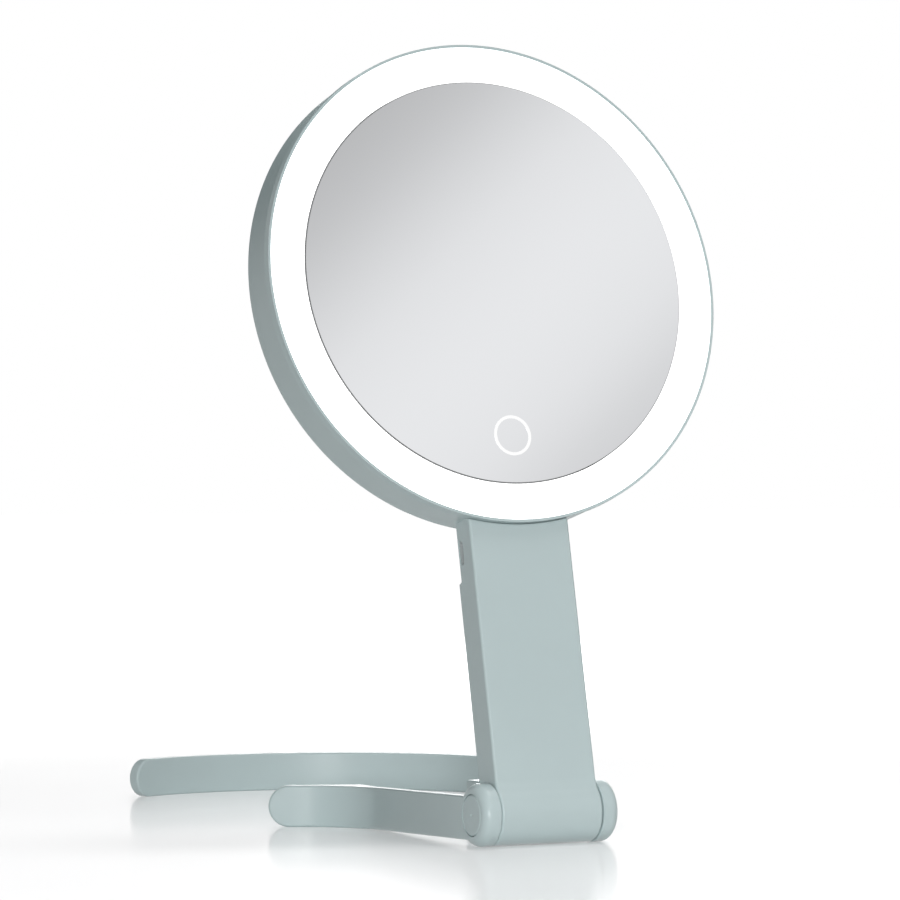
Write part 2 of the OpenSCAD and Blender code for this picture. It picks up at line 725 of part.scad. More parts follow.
module battery_plug() color("ivory") on_mirror()
    translate([-plug_w / 2, board_back, board_bottom + 0.5]) cube([plug_w, plug_t, plug_h]);

module battery_leads() color("crimson") on_mirror() for (side = [-1, 1])
    translate([side * 1.3, board_back + plug_t / 2, battery_top])
        cylinder(r = lead_r, h = board_bottom + 0.5 - battery_top);

left_leg();
right_leg();
left_pivot_cap();
right_pivot_cap();
hinge_shaft();
thrust_washers();
end_washers();
end_screws();
rear_housing();
front_bezel();
diffuser_ring();
mirror_glass();
touch_ring();
handle_back_cover();
usb_port();
usb_tongue();
mirror_carrier();
mirror_tape();
carrier_screws();
reflector_tray();
led_board();
leds();
led_leads();
touch_sensor();
touch_ribbon();
control_board();
board_chips();
battery_cell();
battery_pad();
battery_plug();
battery_leads();
cover_screws();
hinge_bushes();
friction_clips();
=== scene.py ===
"""Looks of a lighted hand mirror on a fold-out ring stand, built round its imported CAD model.

Sizes are millimetres in the frame of each sub-assembly; a piece is brought to metres, in the
part's own frame, as the last step of its making.
"""

import json
import logging
import math
from collections.abc import Callable, Sequence
from dataclasses import dataclass, field
from enum import Enum
from functools import cache

import bmesh
import bpy
from mathutils import Matrix, Vector


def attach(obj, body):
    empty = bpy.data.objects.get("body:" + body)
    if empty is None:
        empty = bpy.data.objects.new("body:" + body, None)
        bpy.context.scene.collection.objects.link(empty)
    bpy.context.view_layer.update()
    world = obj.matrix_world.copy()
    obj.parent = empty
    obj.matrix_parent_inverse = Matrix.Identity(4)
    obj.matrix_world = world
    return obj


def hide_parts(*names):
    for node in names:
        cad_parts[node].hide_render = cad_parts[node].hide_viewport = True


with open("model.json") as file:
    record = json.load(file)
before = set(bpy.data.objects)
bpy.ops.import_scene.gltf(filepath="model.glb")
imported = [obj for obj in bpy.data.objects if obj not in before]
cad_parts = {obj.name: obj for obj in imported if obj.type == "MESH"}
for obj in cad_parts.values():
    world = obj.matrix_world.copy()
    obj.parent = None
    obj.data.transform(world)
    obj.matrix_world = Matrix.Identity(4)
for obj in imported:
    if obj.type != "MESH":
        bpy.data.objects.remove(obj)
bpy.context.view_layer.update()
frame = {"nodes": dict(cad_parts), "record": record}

LOG = logging.getLogger("hand_mirror")
MM = 0.001
NEAR = 1e-3
WHITE = (1, 1, 1, 1)

Colour = tuple[float, float, float]
Point = tuple[float, float, float]
Pair = tuple[float, float]
Node = bpy.types.Node
Socket = bpy.types.NodeSocket
Material = bpy.types.Material
Piece = bpy.types.Object
Mesh = bmesh.types.BMesh
Edge = bmesh.types.BMEdge
Vert = bmesh.types.BMVert

X_AXIS: Point = (1, 0, 0)
Y_AXIS: Point = (0, 1, 0)
Z_AXIS: Point = (0, 0, 1)


class Side(Enum):
    """The two sides of the mirror, as one faces it, with the sign of X on each."""

    LEFT = -1
    RIGHT = 1


class Body(Enum):
    """The bodies of the CAD model that pieces ride on."""

    STAND = "stand"
    MIRROR = "mirror"


class Join(Enum):
    """How a second solid changes the first."""

    ADD = "UNION"
    CUT = "DIFFERENCE"


class Slot(Enum):
    """Material slots of the part's record."""

    SAGE = "sage_plastic"
    OPAL = "opal_light"
    MIRROR = "mirror"
    PRINT = "white_print"
    WHITE = "white_plastic"
    BLACK = "black_plastic"
    STEEL = "steel"
    BRONZE = "bronze"
    FOAM = "foam"
    COPPER = "copper_foil"
    BOARD = "board_green"
    POUCH = "battery_foil"
    LAMP = "lamp_yellow"
    WIRE = "wire_red"


# Materials

NOISE_SPAN = (0.3, 0.7)
"""Nearly all values of a noise texture lie in this span."""


class Shader:
    """The node tree of a material or of the world, with short ways to add nodes."""

    def __init__(self, name: str, for_world: bool = False) -> None:
        """Starts an empty tree.

        Args:
            name: Name of the material or the world.
            for_world: Whether the tree is a world's.
        """
        self.owner = (bpy.data.worlds if for_world else bpy.data.materials).new(name)
        self.owner.use_nodes = True
        self.tree = self.owner.node_tree
        self.tree.nodes.clear()
        self.output = "OutputWorld" if for_world else "OutputMaterial"

    def add(self, kind: str, *sources: Socket | Node, **values: object) -> Node:
        """Adds a node.

        Args:
            kind: The node's type, without its ShaderNode prefix.
            sources: What its first inputs are linked to, in order.
            values: Its properties, and by names with a capital letter its inputs: linked where
                the value is a node or a socket, and set where it isn't.

        Returns:
            The new node.
        """
        node = self.tree.nodes.new("ShaderNode" + kind)
        inputs: dict[int | str, object] = dict(enumerate(sources))
        for name, value in values.items():
            if name[0].isupper():
                inputs[name.replace("_", " ")] = value
            else:
                setattr(node, name, value)
        for key, value in inputs.items():
            source = value.outputs[0] if isinstance(value, Node) else value
            if isinstance(source, Socket):
                self.tree.links.new(source, node.inputs[key])
            else:
                node.inputs[key].default_value = source
        return node

    def finish(self, surface: Node) -> bpy.types.ID:
        """Sends a shader node to the output and returns the material or world."""
        self.add(self.output, surface)
        return self.owner

    def place(self) -> Socket:
        """Returns the piece's own coordinates, in metres."""
        return self.add("TexCoord").outputs["Object"]

    def noise(self, waves: float, octaves: float = 2.0, stretch: Point = (1, 1, 1)) -> Node:
        """Adds noise with a number of waves in a metre, on the piece's own coordinates."""
        place = self.add("Mapping", self.place(), Scale=stretch)
        return self.add("TexNoise", place, Scale=waves, Detail=octaves)

    def ramp(self, value: Node, stops: Sequence[tuple[float, Colour]],
             interpolation: str = "LINEAR") -> Node:
        """Turns a value into a colour, by stops of a position and a colour each."""
        node = self.add("ValToRGB", value)
        node.color_ramp.interpolation = interpolation
        elements = node.color_ramp.elements
        while len(elements) < len(stops):
            elements.new(0.5)
        for element, (position, colour) in zip(elements, stops):
            element.position = position
            element.color = (*colour, 1)
        return node

    def mottled(self, noise: Node, low: Colour, high: Colour) -> Node:
        """Runs from one colour to another over a noise."""
        return self.ramp(noise, list(zip(NOISE_SPAN, (low, high))))

    def remap(self, value: Socket | Node, span: Pair, onto: Pair, run: str = "LINEAR") -> Node:
        """Maps one span of a value onto another, straight or with another kind of run."""
        return self.add("MapRange", value, From_Min=span[0], From_Max=span[1], To_Min=onto[0],
                        To_Max=onto[1], interpolation_type=run)


def tint(colour: Colour, factor: float) -> Colour:
    """Returns a colour made lighter or darker by a factor."""
    return tuple(min(1.0, channel * factor) for channel in colour)


@dataclass(frozen=True)
class Moulding:
    """Moulded plastic: an even colour with a faint mottle, a satin skin and a fine grain.

    The colour is linear, the mottle a share of it, the grain's depth is in metres, and the
    waves are counted in a metre.
    """

    name: str
    colour: Colour
    roughness: float = 0.42
    ior: float = 1.34
    mottle: float = 0.012
    mottle_waves: float = 38
    wear: float = 0.025
    wear_waves: float = 90
    grain: float = 1.2e-5
    grain_waves: float = 5200

    def material(self) -> Material:
        """Builds the material."""
        shader = Shader(self.name)
        dark, light = tint(self.colour, 1 - self.mottle), tint(self.colour, 1 + self.mottle)
        wear = (self.roughness - self.wear, self.roughness + self.wear)
        grain = shader.noise(self.grain_waves)
        return shader.finish(shader.add(
            "BsdfPrincipled", IOR=self.ior,
            Base_Color=shader.mottled(shader.noise(self.mottle_waves, 3), dark, light),
            Roughness=shader.remap(shader.noise(self.wear_waves, 4), NOISE_SPAN, wear),
            Normal=shader.add("Bump", Height=grain, Distance=self.grain, Strength=1.0)))


@dataclass(frozen=True)
class Metal:
    """Metal whose fine lines run round or along the piece; share says how bare it is."""

    name: str
    colour: Colour
    roughness: float = 0.3
    share: float = 1.0
    lines: Point = (40, 1, 1)
    waves: float = 700
    depth: float = 6e-6
    shades: Pair = (0.9, 1.06)
    wear: Pair = (-0.06, 0.08)

    def material(self) -> Material:
        """Builds the material."""
        shader = Shader(self.name)
        lines = shader.noise(self.waves, 3, self.lines)
        low, high = (tint(self.colour, shade) for shade in self.shades)
        wear = (self.roughness + self.wear[0], self.roughness + self.wear[1])
        return shader.finish(shader.add(
            "BsdfPrincipled", Metallic=self.share, Base_Color=shader.mottled(lines, low, high),
            Roughness=shader.remap(lines, NOISE_SPAN, wear),
            Normal=shader.add("Bump", Height=lines, Distance=self.depth, Strength=1.0)))


@dataclass(frozen=True)
class SilveredGlass:
    """Float glass with a silvered back: a clear image, slightly cool."""

    name: str
    colour: Colour = (0.93, 0.935, 0.94)
    unevenness: float = 0.005
    waves: float = 14

    def material(self) -> Material:
        """Builds the material."""
        shader = Shader(self.name)
        stops = [(0.2, tint(self.colour, 1 - self.unevenness)), (0.8, self.colour)]
        silver = shader.ramp(shader.noise(self.waves), stops)
        return shader.finish(shader.add("BsdfPrincipled", silver, Metallic=1.0, Roughness=0.0))


@dataclass(frozen=True)
class LitPlastic:
    """Milky plastic or print with light behind it, very slightly clouded."""

    name: str
    colour: Colour = (0.95, 0.95, 0.945)
    glow: Colour = (1.0, 1.0, 1.0)
    strength: float = 1.0
    cloud: float = 0.02
    waves: float = 120
    roughness: float = 0.45

    def material(self) -> Material:
        """Builds the material."""
        shader = Shader(self.name)
        milk = shader.mottled(shader.noise(self.waves), tint(self.glow, 1 - self.cloud), self.glow)
        return shader.finish(shader.add(
            "BsdfPrincipled", Base_Color=(*self.colour, 1), Roughness=self.roughness,
            Emission_Color=milk, Emission_Strength=self.strength))


@dataclass(frozen=True)
class Speckled:
    """A surface with cells or specks of a second colour, for foam, film, pouch foil and boards."""

    name: str
    colour: Colour
    second: Colour
    cells: float = 900.0
    roughness: float = 0.7
    metallic: float = 0.0
    depth: float = 5e-5

    def material(self) -> Material:
        """Builds the material."""
        shader = Shader(self.name)
        cells = shader.add("TexVoronoi", shader.place(), Scale=self.cells)
        return shader.finish(shader.add(
            "BsdfPrincipled", Roughness=self.roughness, Metallic=self.metallic,
            Base_Color=shader.ramp(cells, [(0.1, self.second), (0.6, self.colour)]),
            Normal=shader.add("Bump", Height=cells, Distance=self.depth, Strength=0.6)))


FINISHES = {
    Slot.SAGE: Moulding("sage_satin", (0.492, 0.588, 0.594), roughness=0.3),
    Slot.OPAL: LitPlastic("opal_lit"),
    Slot.MIRROR: SilveredGlass("silvered_glass"),
    Slot.PRINT: LitPlastic("white_backlit_print", (0.15, 0.15, 0.15), strength=0.83, cloud=0.0),
    Slot.WHITE: Moulding("white_moulding", (0.80, 0.80, 0.78), roughness=0.5),
    Slot.BLACK: Moulding("black_moulding", (0.02, 0.02, 0.021), roughness=0.5),
    Slot.STEEL: Metal("turned_steel", (0.60, 0.60, 0.61)),
    Slot.BRONZE: Metal("sintered_bronze", (0.62, 0.43, 0.22), roughness=0.45, lines=(1, 1, 1)),
    Slot.FOAM: Speckled("foam_tape", (0.045, 0.045, 0.046), (0.012, 0.012, 0.013), roughness=0.95),
    Slot.COPPER: Speckled("copper_film", (0.72, 0.40, 0.19), (0.62, 0.33, 0.15), cells=300,
                          roughness=0.35, metallic=0.8, depth=1e-5),
    Slot.BOARD: Speckled("solder_mask", (0.01, 0.13, 0.055), (0.02, 0.2, 0.09), cells=500,
                         roughness=0.35, depth=2e-5),
    Slot.POUCH: Speckled("pouch_foil", (0.62, 0.64, 0.66), (0.5, 0.52, 0.55), cells=220,
                         roughness=0.4, metallic=0.9, depth=8e-5),
    Slot.LAMP: LitPlastic("phosphor_lens", (0.95, 0.78, 0.3), (1.0, 0.93, 0.75)),
    Slot.WIRE: Moulding("wire_insulation", (0.42, 0.02, 0.015), roughness=0.35),
}
"""Finish of each slot of the record."""

GROUND_EDGE = Moulding("ground_glass_edge", (0.17, 0.175, 0.178), roughness=0.55)
SHELL_NICKEL = Metal("shell_nickel", (0.50, 0.55, 0.555), roughness=0.42, share=0.2)


@cache
def material_of(slot: Slot) -> Material:
    """Builds the finish of a slot, once, and returns it."""
    return FINISHES[slot].material()


# Shapes


class Pen:
    """Draws an outline in a bmesh, line by line and arc by arc."""

    def __init__(self, mesh: Mesh, start: Point) -> None:
        """Puts the pen down on a mesh, where the outline starts."""
        self.mesh = mesh
        self.first = self.last = mesh.verts.new(start)
        self.edges: list[Edge] = []

    def line(self, *points: Point) -> "Pen":
        """Draws straight lines to the points, one after the other."""
        for point in points:
            made = bmesh.ops.extrude_vert_indiv(self.mesh, verts=[self.last])
            self.edges += made["edges"]
            self.last = made["verts"][0]
            self.last.co = point
        return self

    def arc(self, centre: Point, axis: Point, degrees: float, steps: int) -> "Pen":
        """Draws an arc about an axis through the centre, from where the pen is."""
        before = set(self.mesh.edges)
        made = bmesh.ops.spin(self.mesh, geom=[self.last], cent=centre, axis=axis,
                              angle=math.radians(degrees), steps=steps)
        self.edges += [edge for edge in self.mesh.edges if edge not in before]
        self.last = next(v for v in made["geom_last"] if isinstance(v, Vert))
        return self

    def close(self) -> list[Edge]:
        """Joins the last point to the first and returns the outline's edges."""
        self.edges.append(self.mesh.edges.new((self.last, self.first)))
        return self.edges


@dataclass
class Form:
    """One solid or piece, shaped in millimetres in the frame of its sub-assembly."""

    mesh: Mesh = field(default_factory=bmesh.new)

    def pen(self, start: Point) -> Pen:
        """Returns a pen on this form's mesh."""
        return Pen(self.mesh, start)

    def revolve(self, outline: list[Edge], axis: Point, steps: int) -> "Form":
        """Turns a closed outline once round one of the frame's axes, in a number of segments."""
        verts = {v for edge in outline for v in edge.verts}
        bmesh.ops.spin(self.mesh, geom=[*verts, *outline], cent=(0, 0, 0), axis=axis,
                       angle=math.tau, steps=steps, use_merge=True)
        return self.heal()

    def extrude(self, outline: list[Edge], by: Point) -> "Form":
        """Fills a flat outline and draws it out along a vector."""
        face = bmesh.ops.contextual_create(self.mesh, geom=outline)["faces"]
        made = bmesh.ops.extrude_face_region(self.mesh, geom=face)["geom"]
        moved = [v for v in made if isinstance(v, Vert)]
        bmesh.ops.translate(self.mesh, verts=moved, vec=by)
        return self.heal()

    def cylinder(self, radius: float, low: float, high: float, axis: Point = Z_AXIS,
                 centre: Point = (0, 0, 0), steps: int = 96) -> "Form":
        """Adds a cylinder about an axis, from low to high along it."""
        turn = Vector(Z_AXIS).rotation_difference(Vector(axis)).to_matrix().to_4x4()
        place = Matrix.Translation(centre) @ turn @ Matrix.Translation((0, 0, (low + high) / 2))
        bmesh.ops.create_cone(self.mesh, cap_ends=True, segments=steps, radius1=radius,
                              radius2=radius, depth=high - low, matrix=place)
        return self

    def block(self, low: Point, high: Point) -> "Form":
        """Adds a box between two corners."""
        low_corner, high_corner = Vector(low), Vector(high)
        size = Matrix.Diagonal((*(high_corner - low_corner), 1))
        bmesh.ops.create_cube(self.mesh, size=1.0,
                              matrix=Matrix.Translation((low_corner + high_corner) / 2) @ size)
        return self

    def soften(self, wanted: Callable[[Edge], bool], width: float,
               steps: int) -> "Form":
        """Rounds the edges that a test picks, in a number of segments."""
        edges = [edge for edge in self.mesh.edges if wanted(edge)]
        bmesh.ops.bevel(self.mesh, geom=edges, offset=width, offset_type="OFFSET", segments=steps,
                        profile=0.5, affect="EDGES", material=-1, clamp_overlap=True)
        return self

    def heal(self) -> "Form":
        """Merges doubles, then turns all faces outwards."""
        bmesh.ops.remove_doubles(self.mesh, verts=self.mesh.verts[:], dist=1e-4)
        bmesh.ops.recalc_face_normals(self.mesh, faces=self.mesh.faces[:])
        return self

    def mirrored(self, side: Side) -> "Form":
        """Brings a right-hand form to the side that is asked for."""
        if side is Side.LEFT:
            bmesh.ops.scale(self.mesh, vec=(-1, 1, 1), verts=self.mesh.verts[:])
            bmesh.ops.recalc_face_normals(self.mesh, faces=self.mesh.faces[:])
        return self

    def object(self, name: str) -> Piece:
        """Makes an object of the form and ends its mesh."""
        data = bpy.data.meshes.new(name)
        self.mesh.to_mesh(data)
        self.mesh.free()
        piece = bpy.data.objects.new(name, data)
        bpy.context.scene.collection.objects.link(piece)
        return piece


def combine(first: Piece, second: Piece, how: Join) -> Piece:
    """Adds a second solid to the first or cuts it out, and returns the first.

    Args:
        first: The solid that is kept.
        second: The solid that is used up.
        how: Whether it is added or cut.

    Returns:
        The first solid, with its new mesh.
    """
    change = first.modifiers.new("solid", "BOOLEAN")
    change.operation = how.value
    change.solver = "MANIFOLD"
    change.object = second
    shape = first.evaluated_get(bpy.context.evaluated_depsgraph_get())
    data = bpy.data.meshes.new_from_object(shape)
    first.modifiers.clear()
    first.data = data
    bpy.data.objects.remove(second)
    return first


def has_sharp_turn(edge: Edge) -> bool:
    """Says whether the two faces of an edge meet at more than 30 degrees."""
    return len(edge.link_faces) == 2 and edge.calc_face_angle(0.0) > math.radians(30)


# Places


@dataclass(frozen=True)
class Places:
    """Where the sub-assemblies' own frames lie in the part's frame, in millimetres and degrees."""

    hinge: Point = (-3.75, -139.925, 11.25)
    lean: float = 12.4
    lip_front: float = -10.2
    hinge_to_head: float = 193.3

    @property
    def scale(self) -> Matrix:
        """Millimetres to metres."""
        return Matrix.Scale(MM, 4)

    @property
    def stand(self) -> Matrix:
        """Frame on the table below the hinge axis."""
        return self.scale @ Matrix.Translation((self.hinge[0], self.hinge[1], 0))

    @property
    def axle(self) -> Matrix:
        """Frame at the middle of the hinge axis, not turned."""
        return self.scale @ Matrix.Translation(self.hinge)

    @property
    def handle(self) -> Matrix:
        """Frame at the hinge axis, along the leaning handle."""
        return self.axle @ Matrix.Rotation(math.radians(-self.lean), 4, "X")

    @property
    def head(self) -> Matrix:
        """Frame at the head's front: x right, y down towards the handle, z back."""
        shift = Matrix.Translation((0, self.lip_front, self.hinge_to_head))
        return self.handle @ shift @ Matrix.Rotation(math.radians(-90), 4, "X")


PLACES = Places()


def deliver(piece: Piece, place: Matrix, body: Body, slot: Slot, *nodes: str,
            crease: float = 32.0) -> None:
    """Places, dresses and mounts a piece.

    Args:
        piece: The object, still in millimetres in its own frame.
        place: The frame it is brought to.
        body: The CAD body it rides on.
        slot: The record's slot of its finish.
        nodes: The CAD nodes it stands for.
        crease: The angle in degrees from which an edge stays sharp.
    """
    data = piece.data
    data.transform(place)
    data.shade_smooth()
    data.set_sharp_from_angle(angle=math.radians(crease))
    even = piece.modifiers.new("even_normals", "WEIGHTED_NORMAL")
    even.keep_sharp = True
    data.materials.clear()
    data.materials.append(material_of(slot))
    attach(piece, body.value)
    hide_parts(*nodes)
    LOG.info("%s: %d faces, stands for %s", piece.name, len(data.polygons), ", ".join(nodes))


# Stand


@dataclass
class Leg:
    """An ear with its arm, the bend and its share of the ring, shaped as the right-hand one."""

    side: Side
    tip_angle: float
    ear_inner: float = 20.3
    ear_width: float = 6.7
    ear_radius: float = 11.25
    ear_rounding: float = 3.6
    seam: float = 0.3
    lead: float = 0.15
    cap_recess: Pair = (7.55, 1.5)
    pocket: Pair = (5.6, 2.2)
    shaft_bore: float = 3.05
    ring_radius: float = 95.0
    ring_centre: float = 193.6
    thickness: float = 5.0
    height: float = 15.6
    edge: float = 1.0
    bend_radius: float = 30.0
    root: float = 1.0
    root_rise: float = 2.35
    slope_end: float = 90.97
    join_angle: float = 28.0
    step_angle: float = 1.25

    def ear(self) -> Piece:
        """Makes the ear disc with its rounded rim, cap recess and screw pocket."""
        form = Form()
        inner, outer = self.ear_inner, self.outer
        recess_r, recess_d = self.cap_recess
        pocket_r, web = self.pocket
        pen = form.pen((inner, 0, self.shaft_bore))
        pen.line((inner, 0, self.ear_radius - self.seam), (inner + self.seam, 0, self.ear_radius),
                 (outer - self.ear_rounding, 0, self.ear_radius))
        pen.arc((outer - self.ear_rounding, 0, self.ear_radius - self.ear_rounding), Y_AXIS, 90, 14)
        pen.line((outer, 0, recess_r + self.lead), (outer - self.lead, 0, recess_r),
                 (outer - recess_d, 0, recess_r), (outer - recess_d, 0, pocket_r),
                 (inner + web, 0, pocket_r), (inner + web, 0, self.shaft_bore))
        form.revolve(pen.close(), X_AXIS, 144)
        return form.object("ear")

    @property
    def outer(self) -> float:
        """X of the outer faces of arm and ear."""
        return self.ear_inner + self.ear_width

    def plan(self, form: Form) -> list[Edge]:
        """Draws arm, bend and the ring's first stretch from above, and returns the outline."""
        arm_inner = self.outer - self.thickness
        inner = self.ring_radius - self.thickness / 2
        reach = self.ring_radius + self.thickness / 2 + self.bend_radius
        bend_x = self.outer + self.bend_radius
        bend_y = self.ring_centre - math.sqrt(reach ** 2 - bend_x ** 2)
        meet = math.degrees(math.asin(bend_x / reach))
        corner = math.degrees(math.asin(arm_inner / inner))
        middle = (0, self.ring_centre, 0)
        turn = math.radians(self.join_angle)
        pen = form.pen((arm_inner, self.root, 0))
        pen.line((self.outer, self.root, 0), (self.outer, bend_y, 0))
        pen.arc((bend_x, bend_y, 0), Z_AXIS, meet - 90, 28)
        pen.arc(middle, Z_AXIS, self.join_angle - meet, 2)
        pen.line((inner * math.sin(turn), self.ring_centre - inner * math.cos(turn), 0))
        pen.arc(middle, Z_AXIS, corner - self.join_angle, 10)
        return pen.close()

    def foot(self, form: Form) -> list[Edge]:
        """Makes arm, bend and the ring's first stretch with rounded edges, open at the join.

        Args:
            form: The form that takes them.

        Returns:
            The edges round the join, its upright ones split at half height.
        """
        mesh = form.extrude(self.plan(form), (0, 0, self.height)).mesh
        turn = math.radians(self.join_angle)
        heading = Vector((math.cos(turn), math.sin(turn), 0))

        def lies_ahead(face: bmesh.types.BMFace) -> float:
            """Ranks a face by how far round the ring it lies and faces."""
            return face.normal.dot(heading) * face.calc_center_median().y

        at_join = set(max(mesh.faces, key=lies_ahead).edges)

        def on_rim(edge: Edge) -> bool:
            """Picks the edges round top and bottom, apart from those of the join and the root."""
            low, high = sorted(v.co.z for v in edge.verts)
            at_root = all(v.co.y < self.root + NEAR for v in edge.verts)
            return high - low < NEAR and edge not in at_join and not at_root

        form.soften(on_rim, self.edge, 5)
        bmesh.ops.bisect_plane(mesh, geom=[*mesh.verts, *mesh.edges, *mesh.faces], dist=1e-4,
                               plane_co=(0, self.slope_end, 0), plane_no=Y_AXIS)
        walls = [face for face in mesh.faces if len(face.verts) > 6 and abs(face.normal.z) < 0.1]
        join = max(walls, key=lies_ahead)
        upright = [edge for edge in join.edges
                   if abs(edge.verts[0].co.z - edge.verts[1].co.z) > self.height / 2]
        bmesh.ops.delete(mesh, geom=[join], context="FACES_ONLY")
        bmesh.ops.subdivide_edges(mesh, edges=upright, cuts=1)
        return [edge for edge in mesh.edges if edge.is_boundary]

    def band(self) -> Piece:
        """Carries the foot's open end on round the ring and closes it with a full round tip."""
        form = Form()
        mesh = form.mesh
        rim = self.foot(form)
        centre = (0, self.ring_centre, 0)
        span = self.tip_angle - self.join_angle
        steps = max(4, round(span / self.step_angle))
        rim = self.carry_on(mesh, rim, centre, Z_AXIS, span, steps)
        turn = math.radians(self.tip_angle)
        radial = Vector((math.sin(turn), -math.cos(turn), 0))
        middle = Vector(centre) + radial * self.ring_radius + Vector((0, 0, self.height / 2))
        top = [edge for edge in rim if all(v.co.z > self.height / 2 - NEAR for v in edge.verts)]
        self.carry_on(mesh, top, tuple(middle), tuple(radial), -180, 24)
        lean = Matrix.Identity(4)
        lean[2][1], lean[2][3] = -self.root_rise / self.slope_end, self.root_rise
        sloped = [v for v in mesh.verts if v.co.y < self.slope_end + NEAR]
        bmesh.ops.transform(mesh, matrix=lean, verts=sloped)
        bmesh.ops.translate(mesh, verts=mesh.verts[:], vec=(0, 0, -self.ear_radius))
        bmesh.ops.remove_doubles(mesh, verts=mesh.verts[:], dist=0.01)
        bmesh.ops.recalc_face_normals(mesh, faces=mesh.faces[:])
        return form.object("band")

    @staticmethod
    def carry_on(mesh: Mesh, outline: list[Edge], centre: Point,
                 axis: Point, degrees: float, steps: int) -> list[Edge]:
        """Sweeps an outline on about an axis through the centre, and returns its last edges."""
        verts = {v for edge in outline for v in edge.verts}
        made = bmesh.ops.spin(mesh, geom=[*verts, *outline], cent=centre, axis=axis,
                              angle=math.radians(degrees), steps=steps)
        return [e for e in made["geom_last"] if isinstance(e, Edge)]

    def build(self) -> None:
        """Joins ear and band, frees the bores and delivers the leg."""
        leg = combine(self.ear(), self.band(), Join.ADD)
        pocket_r, web = self.pocket
        recess_r, recess_d = self.cap_recess
        seat = self.outer - recess_d
        pocket = Form().cylinder(pocket_r, self.ear_inner + web, seat + recess_d / 2, X_AXIS)
        leg = combine(leg, pocket.object("pocket"), Join.CUT)
        recess = Form().cylinder(recess_r, seat, self.outer + recess_d, X_AXIS)
        leg = combine(leg, recess.object("recess"), Join.CUT)
        name = self.side.name.lower()
        mesh = bmesh.new()
        mesh.from_mesh(leg.data)
        bpy.data.objects.remove(leg)
        form = Form(mesh).mirrored(self.side)
        deliver(form.object(f"{name}_leg_form"), PLACES.axle, Body.STAND, Slot.SAGE, f"{name}_leg")


@dataclass
class PivotCap:
    """Round cap pressed into an ear, chamfered, with a tiny moulding mark at its middle."""

    side: Side
    seat: float = 25.5
    outer: float = 27.0
    radius: float = 7.3
    chamfer: float = 0.7
    mark_radius: float = 0.45
    mark_depth: float = 0.25
    skirt: tuple[float, float, float] = (5.5, 4.7, 1.2)

    def build(self) -> None:
        """Turns the cap and delivers it."""
        form = Form()
        skirt_outer, skirt_inner, skirt_depth = self.skirt
        pen = form.pen((self.seat, 0, 0))
        pen.line((self.seat, 0, skirt_inner), (self.seat - skirt_depth, 0, skirt_inner),
                 (self.seat - skirt_depth, 0, skirt_outer), (self.seat, 0, skirt_outer),
                 (self.seat, 0, self.radius), (self.outer - self.chamfer, 0, self.radius))
        pen.arc((self.outer - self.chamfer, 0, self.radius - self.chamfer), Y_AXIS, 90, 5)
        floor = self.outer - self.mark_depth
        pen.line((self.outer, 0, self.mark_radius), (floor, 0, self.mark_radius * 0.6), (floor, 0, 0))
        form.revolve(pen.close(), X_AXIS, 96).mirrored(self.side)
        name = self.side.name.lower()
        deliver(form.object(f"{name}_cap_form"), PLACES.axle, Body.STAND, Slot.SAGE,
                f"{name}_pivot_cap")


# Mirror


